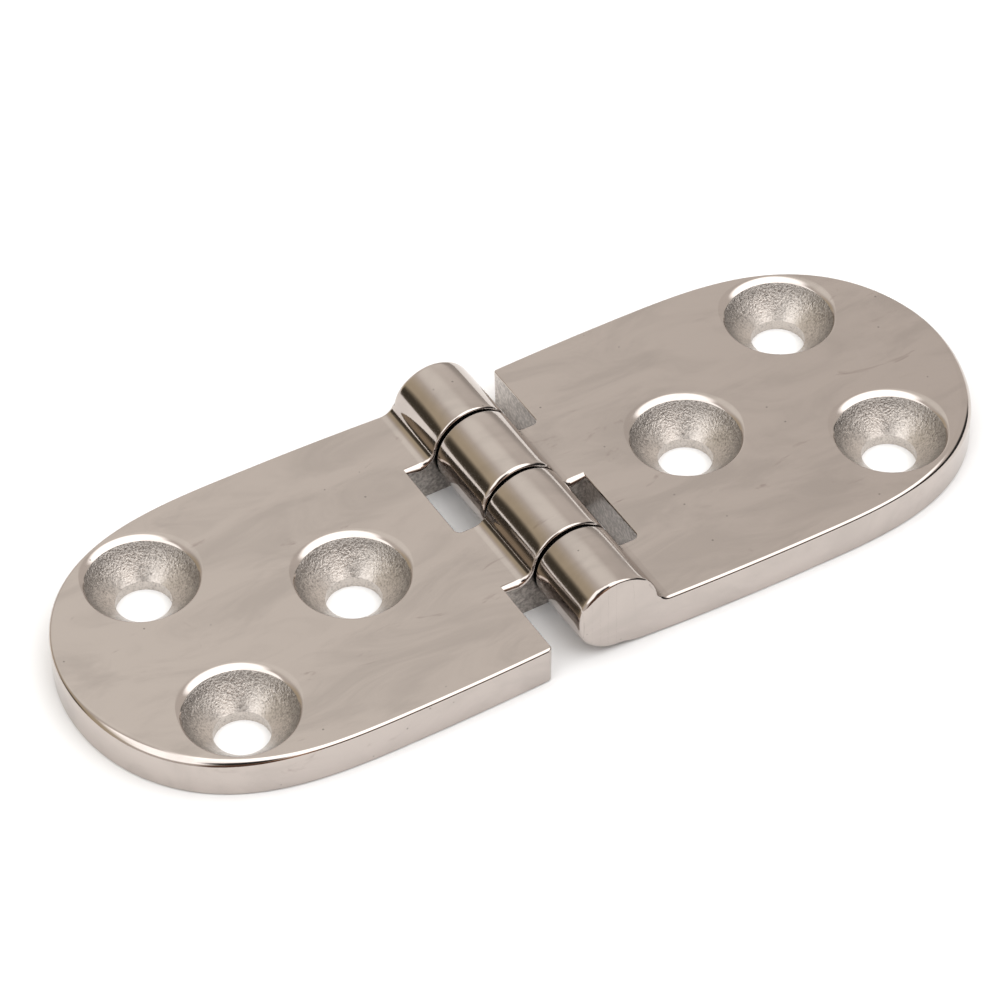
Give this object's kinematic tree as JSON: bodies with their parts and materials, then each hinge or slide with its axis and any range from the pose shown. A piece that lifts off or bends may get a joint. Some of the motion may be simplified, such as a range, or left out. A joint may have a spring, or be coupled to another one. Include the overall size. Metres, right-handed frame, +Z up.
{
  "type": "strap hinge",
  "caption": "Round-ended cast strap hinge, opened flat: two thick polished leaves with countersunk screw holes turn on a pin inside an interleaved barrel.",
  "frame": {"origin": "on the surface that the flat leaves lie on, straight below the middle of the pin", "axes": "+X out along the right leaf, +Y along the pin towards its open end, +Z up out of the leaves' faces"},
  "size_m": [0.142, 0.0538, 0.013],
  "materials": {
    "leaf_steel": "mirror-polished cast stainless steel, warm grey, with rough as-cast countersinks and recess walls",
    "pin_steel": "ground stainless steel rod, its end polished flush with the barrel"
  },
  "bodies": {
    "left_half": {"left_leaf": "leaf_steel", "hinge_pin": "pin_steel"},
    "right_half": {"right_leaf": "leaf_steel"}
  },
  "joints": [
    {"name": "leaf_fold", "type": "hinge", "parent": "left_half", "child": "right_half", "pos_m": [0, 0, 0.0068], "axis": [0, -1, 0], "range_deg": [-112, 180]}
  ]
}
